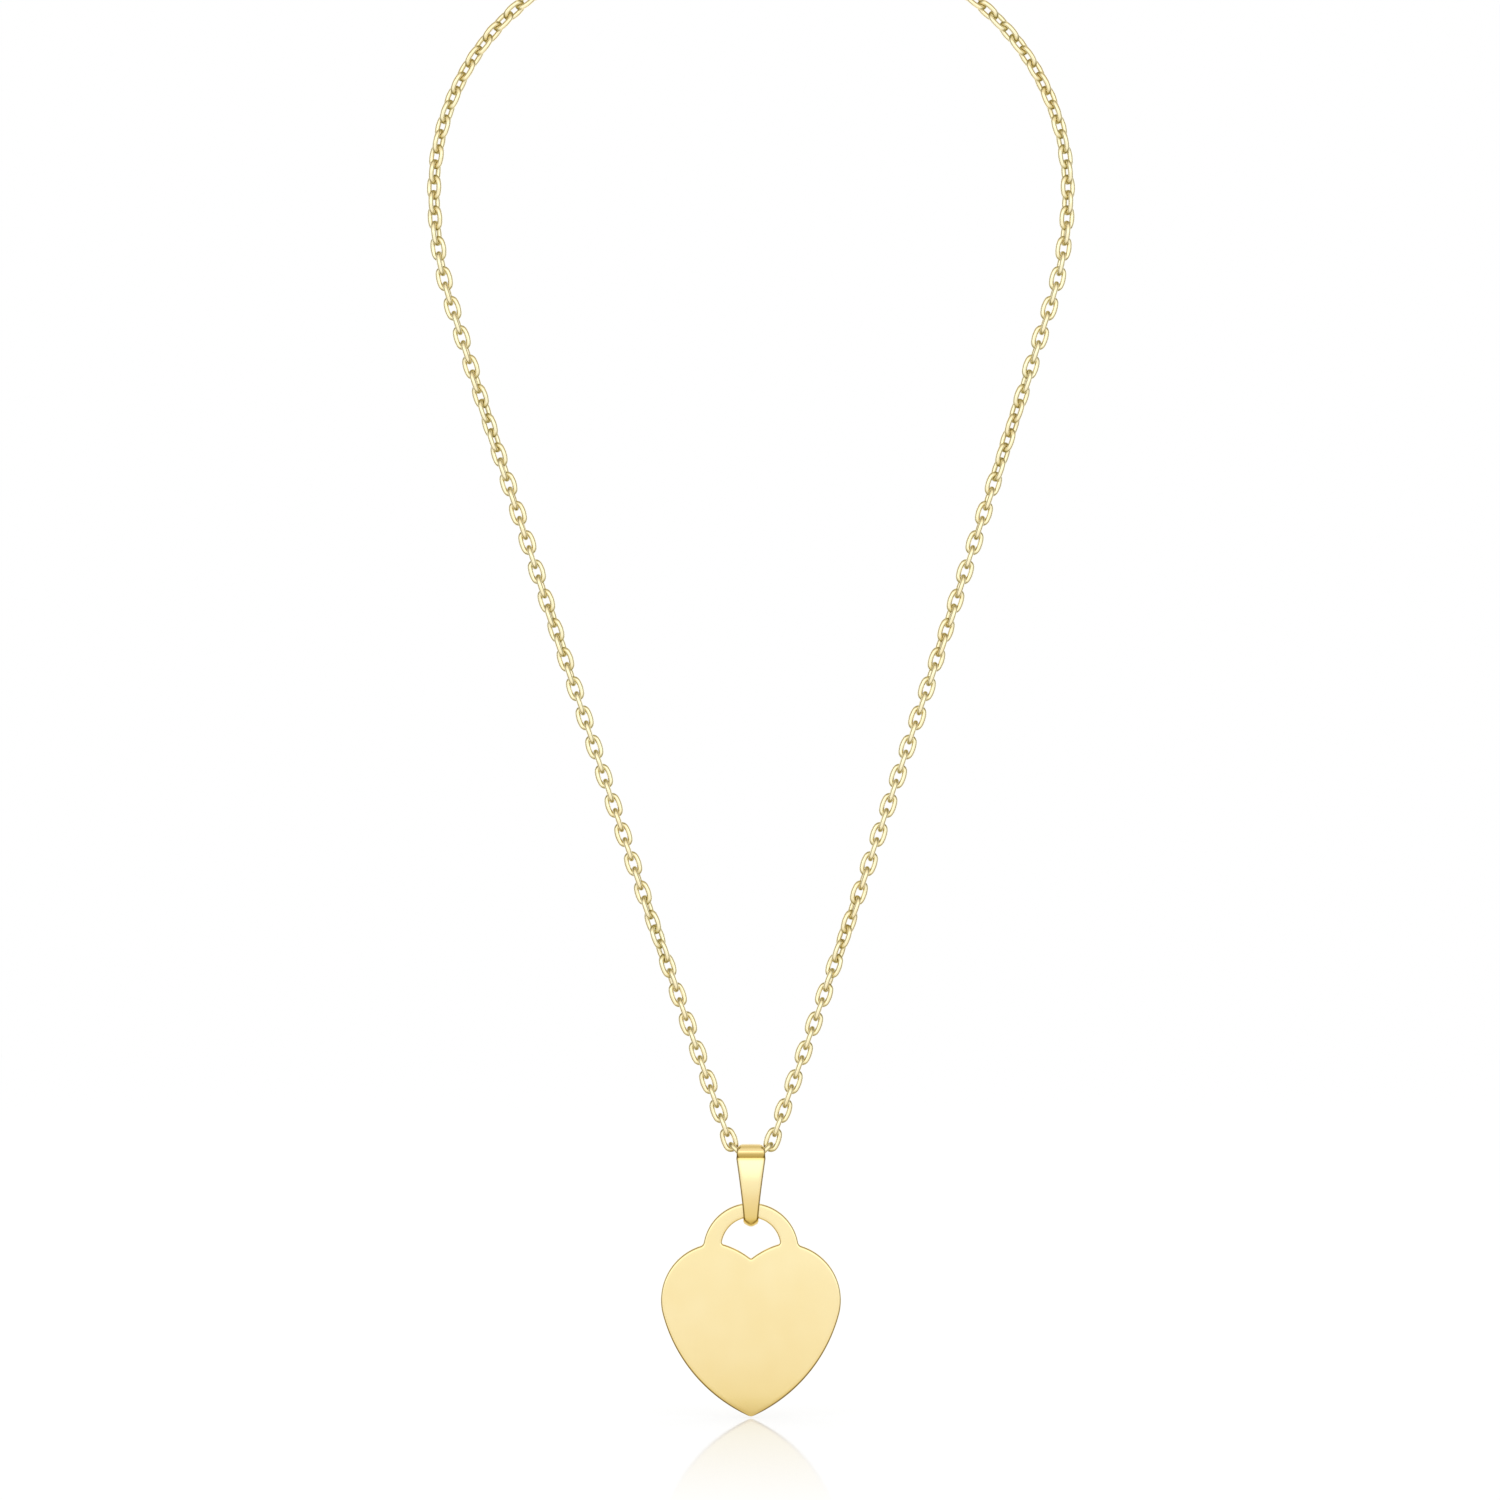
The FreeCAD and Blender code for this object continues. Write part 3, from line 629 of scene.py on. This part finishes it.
def bail_ring(place, direction, wall, level, leg_height, on_band, open_ended):
    """One section of the strip. Its level and the leg's height, up to the roll's centre,
    are measured from the sole."""
    up = np.clip((level - FOOT_RISE) / (leg_height - FOOT_RISE), 0, 1)
    half = (FOOT_WIDTH + (LEG_WIDTH - FOOT_WIDTH) * float(up) ** TAPER) / 2
    rounding = float(smooth_step(1 - level / FOOT_RISE))
    crown = min(FOOT_CROWN * rounding + STRIP_CROWN, wall * CROWN_LIMIT)
    if on_band or place[1] > ROLL.z:
        half = BAND_WIDTH / 2
    if level < FOOT_ROUND:
        half *= max(FOOT_NARROW, math.sqrt(1 - (1 - max(level, 0.0) / FOOT_ROUND) ** 2))
    corner = place[1] + direction[1] * wall - (ROLL.z + ROLL_INNER + ROOF - BAND_CORNER)
    half -= max(0.0, corner) * CORNER_SLOPE
    mouth = MOUTH if place[1] > ROLL.z and open_ended else 0.0
    return [(x, place[0] + direction[0] * out, place[1] + direction[1] * out)
            for x, out in strip_section(half, wall, crown, mouth)]


def bail_piece(material):
    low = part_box("bail")[0]
    sole = low.z - (FOOT_WALL - CAD_FOOT_WALL)
    legs = list(bail_route(low))
    last_leg = len(legs) - 1
    rings, shades = [], []
    for index, (place, direction, wall) in enumerate(legs + list(band_route())):
        level = place[1] + direction[1] * wall - sole
        on_band = index > last_leg
        rings.append(bail_ring(place, direction, wall, level, ROLL.z - sole, on_band,
                               index != last_leg))
        # painted shade at the foot, the band's lower edge and the leg under it
        shades += [bail_shade(level, on_band, place[0] < 0)] * len(rings[-1])
    sides = len(rings[0])
    points = [point for ring in rings for point in ring]
    faces = ring_faces(len(rings), sides, False)
    faces.append(tuple(reversed(range(sides))))
    faces.append(tuple((len(rings) - 1) * sides + i for i in range(sides)))
    piece = mesh_piece("bail_strip", points, faces, material, "bail")
    tidy = bmesh.new()
    tidy.from_mesh(piece.data)
    bmesh.ops.recalc_face_normals(tidy, faces=tidy.faces)
    tidy.to_mesh(piece.data)
    tidy.free()
    give_shade(piece, shades)
    face_weighted(piece)
    return piece


def bail_shade(level, on_band, in_front):
    """Painted shade, 0..1, that deepens the gold: deepest at the foot, at the band's lower
    edge and, as a painted shadow, just under that edge."""
    if on_band:
        return float(smooth_step((LIP_LEVEL - level) / LIP_FADE))
    if in_front and level > TUCK_LEVEL:
        return float(smooth_step((level - TUCK_LEVEL) / TUCK_FADE))
    return FOOT_SHADE * float(smooth_step((FOOT_FADE - level) / FOOT_FADE))


# ---- clasp ----

def cast_piece(node, name, voxel, rounds, material):
    """A cast part: the CAD solid with its inner corners and edges melted a little."""
    rough = bpy.data.objects.new(name, frame["nodes"][node].data.copy())
    bpy.context.scene.collection.objects.link(rough)
    remesh = rough.modifiers.new("remesh", "REMESH")
    remesh.mode = "VOXEL"
    remesh.voxel_size = voxel
    relax = rough.modifiers.new("relax", "SMOOTH")
    relax.factor = 0.5
    relax.iterations = rounds
    shape = bpy.data.meshes.new_from_object(rough.evaluated_get(
        bpy.context.evaluated_depsgraph_get()))
    bpy.data.objects.remove(rough)
    return piece_from(name, shape, material, node)


# ---- floor, light and camera ----

WHITE = (1, 1, 1, 1)
FLOOR_GAP = 0.2 * MM
FLOOR_SIZE = 40.0
VIEW_SPAN = 0.225          # width and height of the view, at the heart
VIEW_CENTRE = (-0.00014, -0.12122)
VIEW_DISTANCE = 1.0
SENSOR = 36.0


def make_camera():
    data = bpy.data.cameras.new("camera")
    camera = bpy.data.objects.new("camera", data)
    bpy.context.scene.collection.objects.link(camera)
    data.sensor_width = SENSOR
    data.lens = SENSOR * VIEW_DISTANCE / VIEW_SPAN
    data.clip_start = 0.01
    data.clip_end = 100.0
    camera.location = (VIEW_CENTRE[0], -VIEW_DISTANCE, VIEW_CENTRE[1])
    camera.rotation_euler = (math.pi / 2, 0, 0)
    bpy.context.scene.camera = camera


# What polished metal sees of the floor, by distance from the necklace's own plane: a glow with
#  painted shade on the near floor and painted gold bounce light on it.
FLOOR_PAINTED_SHADE = (
    (0.000, (0.66, 0.56, 0.33)), (0.012, (0.72, 0.61, 0.37)), (0.020, (0.84, 0.75, 0.51)),
    (0.032, (0.90, 0.82, 0.64)), (0.058, (0.93, 0.87, 0.77)), (0.114, (0.96, 0.91, 0.85)),
    (0.216, (0.99, 0.95, 0.93)), (0.300, (1.0, 1.0, 1.0)))
FLOOR_TONE_REACH = 0.300
# All round, in the necklace's own plane, the studio is dark. This draws a line on each edge.
DARK_BAND = ((0.34, (0.26, 0.23, 0.15)), (0.56, (1.0, 1.0, 1.0)))
REFLECTION = 0.42          # strength of the floor's gloss at the tip, and how far it reaches
REFLECTION_REACH = 0.135
FLOOR_GLOW = 0.7           # share of the floor's own even whiteness; the rest takes shadows
FLOOR_EVEN = (0.25, 1.2)   # beyond these distances the floor turns, and is, all even
FLOOR_ROUGHNESS = 0.06
FLOOR_WHITE = (0.93, 0.93, 0.93, 1)
FLOOR_STRETCH = 0.2        # the mirrored tones reach this much less far along X


def make_floor():
    """A pale gloss floor just under the heart's tip. Its gloss fades with distance."""
    level = CAD_BOX[0].z - FLOOR_GAP
    mesh = bpy.data.meshes.new("floor")
    half = FLOOR_SIZE / 2
    mesh.from_pydata([(-half, -half, level), (half, -half, level), (half, half, level),
                      (-half, half, level)], [], [(0, 1, 2, 3)])
    floor = bpy.data.objects.new("floor", mesh)
    bpy.context.scene.collection.objects.link(floor)
    material, tree, shader = new_material("floor")
    tree.nodes.remove(shader)
    distance = floor_distance(tree, 1.0)
    near = spread(tree, distance, REFLECTION, 0.0, 0.0, REFLECTION_REACH)
    gloss = add(tree, "ShaderNodeBsdfGlossy", {"Roughness": FLOOR_ROUGHNESS, "Color": WHITE})
    matt = add(tree, "ShaderNodeBsdfDiffuse", {"Color": FLOOR_WHITE})
    glow = add(tree, "ShaderNodeEmission", {"Color": WHITE, "Strength": 1.0})
    even = spread(tree, distance, FLOOR_GLOW, 1.0, *FLOOR_EVEN)
    pale = add(tree, "ShaderNodeMixShader", {
        0: even, 1: matt.outputs["BSDF"], 2: glow.outputs["Emission"]})
    seen = add(tree, "ShaderNodeMixShader", {
        0: near, 1: pale.outputs["Shader"], 2: gloss.outputs["BSDF"]})
    from_plane = floor_distance(tree, FLOOR_STRETCH)
    share = spread(tree, from_plane, 0.0, 1.0, 0.0, FLOOR_TONE_REACH)
    tones = [(place / FLOOR_TONE_REACH, colour) for place, colour in FLOOR_PAINTED_SHADE]
    coordinate = add(tree, "ShaderNodeTexCoord")
    flat = add(tree, "ShaderNodeSeparateXYZ", {"Vector": coordinate.outputs["Object"]})
    in_plane = calculate(tree, "DIVIDE", calculate(tree, "ABSOLUTE", flat.outputs["Y"]), distance)
    tone = add(tree, "ShaderNodeVectorMath", {
        0: ramp(tree, share, tones), 1: ramp(tree, in_plane, DARK_BAND)}, operation="MULTIPLY")
    # painted shade and painted gold bounce light, with the studio's dark band, glowing for glossy rays only
    painted_floor_glow = add(tree, "ShaderNodeEmission", {"Color": tone.outputs["Vector"]})
    ray = add(tree, "ShaderNodeLightPath")
    whole = add(tree, "ShaderNodeMixShader", {
        0: ray.outputs["Is Glossy Ray"], 1: seen.outputs["Shader"],
        2: painted_floor_glow.outputs["Emission"]})
    tree.links.new(whole.outputs["Shader"], tree.nodes["Material Output"].inputs["Surface"])
    mesh.materials.append(material)


def floor_distance(tree, across):
    """Distance over the floor from the necklace; across below 1 shortens it along X."""
    coordinate = add(tree, "ShaderNodeTexCoord")
    apart = add(tree, "ShaderNodeVectorMath", {
        0: coordinate.outputs["Object"], 1: (across, 1.0, 0.0)}, operation="MULTIPLY")
    away = add(tree, "ShaderNodeVectorMath", {0: apart.outputs["Vector"]}, operation="LENGTH")
    return away.outputs["Value"]


TENT_TONES = (          # by height, from the horizon to the zenith
    (0.0, (1.0, 1.0, 1.0)), (0.25, (1.0, 1.0, 1.0)), (0.45, (0.95, 0.87, 0.74)),
    (0.8, (0.92, 0.84, 0.68)), (0.95, (0.72, 0.63, 0.44)))
BAND_OPENING = 0.8                   # how far the dark band opens overhead
OPENING_SIDES = (0.15, 0.35)         # |x| where the opening starts to close, and is closed
OPENING_HEIGHT = (0.6, 0.8)          # z where it starts, and is full
SOFTBOX = 0.48                       # a brighter band, low behind the camera
SOFTBOX_DEPTH = (-0.95, -0.6)        # y where it is full, and ends
SOFTBOX_FOOT = (0.0, 0.08)           # z where it starts, and is full
SOFTBOX_TOP = (0.25, 0.45)           # z where it starts to fade, and ends
FIRST_GLANCE = 2.5                   # ray depth at the sky, below which the metal sees it itself
SECOND_GLANCE = 0.87                 # strength of the tent for metal seen in the floor


def make_world():
    """A white tent whose top is warmer. Its dark band draws the lines along edges."""
    world = bpy.data.worlds.new("tent")
    bpy.context.scene.world = world
    world.use_nodes = True
    tree = world.node_tree
    tree.nodes.clear()
    coordinate = add(tree, "ShaderNodeTexCoord")
    apart = add(tree, "ShaderNodeSeparateXYZ", {"Vector": coordinate.outputs["Generated"]})
    x, y, z = (apart.outputs[axis] for axis in "XYZ")
    aside = calculate(tree, "ABSOLUTE", x)
    overhead = calculate(tree, "MULTIPLY",
                         spread(tree, aside, BAND_OPENING, 0.0, *OPENING_SIDES),
                         spread(tree, z, 0.0, 1.0, *OPENING_HEIGHT))
    in_plane = calculate(tree, "MAXIMUM", overhead, calculate(tree, "ABSOLUTE", y))
    tent = add(tree, "ShaderNodeVectorMath", {
        0: ramp(tree, z, TENT_TONES), 1: ramp(tree, in_plane, DARK_BAND)}, operation="MULTIPLY")
    low_band = calculate(tree, "MULTIPLY", spread(tree, z, 0.0, 1.0, *SOFTBOX_FOOT),
                         spread(tree, z, 1.0, 0.0, *SOFTBOX_TOP))
    lit = calculate(tree, "MULTIPLY", spread(tree, y, SOFTBOX, 0.0, *SOFTBOX_DEPTH), low_band)
    ray = add(tree, "ShaderNodeLightPath")
    first = calculate(tree, "LESS_THAN", ray.outputs["Ray Depth"], FIRST_GLANCE)
    strength = calculate(tree, "ADD", calculate(tree, "MULTIPLY", lit, first),
                         spread(tree, first, SECOND_GLANCE, 1.0))
    studio = add(tree, "ShaderNodeBackground", {"Color": tent.outputs["Vector"],
                                                "Strength": strength})
    plain = add(tree, "ShaderNodeBackground", {"Color": WHITE, "Strength": 1.0})
    both = add(tree, "ShaderNodeMixShader", {
        0: ray.outputs["Is Glossy Ray"], 1: plain.outputs[0], 2: studio.outputs[0]})
    out = add(tree, "ShaderNodeOutputWorld", {"Surface": both.outputs[0]})
    out.is_active_output = True


LIGHT_SIZE = 1.6
LIGHT_POWER = 5.0
LIGHT_PLACE = (0, -0.2, 1.2)


def make_lights():
    """One broad light over the floor, which polished metal doesn't mirror."""
    data = bpy.data.lights.new("overhead", "AREA")
    data.shape = "SQUARE"
    data.size = LIGHT_SIZE
    data.energy = LIGHT_POWER
    light = bpy.data.objects.new("overhead", data)
    light.location = LIGHT_PLACE
    light.visible_glossy = False
    bpy.context.scene.collection.objects.link(light)


# ---- the whole necklace ----

def make_necklace():
    chain = gold("chain_gold", rough=(0.10, 0.18), grain_scale=4200.0, shade_ramp=CHAIN_PAINTED_SHADE,
                 tones=(CHAIN_DEEP, CHAIN_LIGHT), metal=CHAIN_METAL)
    rings = gold("ring_gold", rough=(0.10, 0.18), grain_scale=3600.0)
    clasp = gold("clasp_gold", rough=(0.16, 0.26), grain=0.10, grain_scale=3000.0)
    for node in sorted(frame["nodes"]):
        if node.startswith("chain_") or node == "centre_link":
            chain_piece(node, chain)
    ring_piece("jump_ring", rings, math.radians(65))
    ring_piece("closure_ring", rings, math.radians(-120))
    heart_piece(gold("heart_gold", rough=(0.14, 0.20), lines=0.06, grain=0.02))
    bail_piece(gold("bail_gold", rough=(0.10, 0.16), lines=0.06, grain=0.02, shade_ramp=BAIL_PAINTED_SHADE))
    cast_piece("clasp_body", "clasp_claw", 0.07 * MM, 6, clasp)
    cast_piece("clasp_trigger", "clasp_lever", 0.045 * MM, 4, clasp)
    plain = {"clasp_rivet": clasp, "clasp_spring": spring_steel()}
    for node, material in plain.items():
        data = frame["nodes"][node].data
        data.materials.clear()
        data.materials.append(material)


make_necklace()
make_camera()
make_floor()
make_world()
make_lights()
bpy.context.scene.view_settings.view_transform = "Standard"
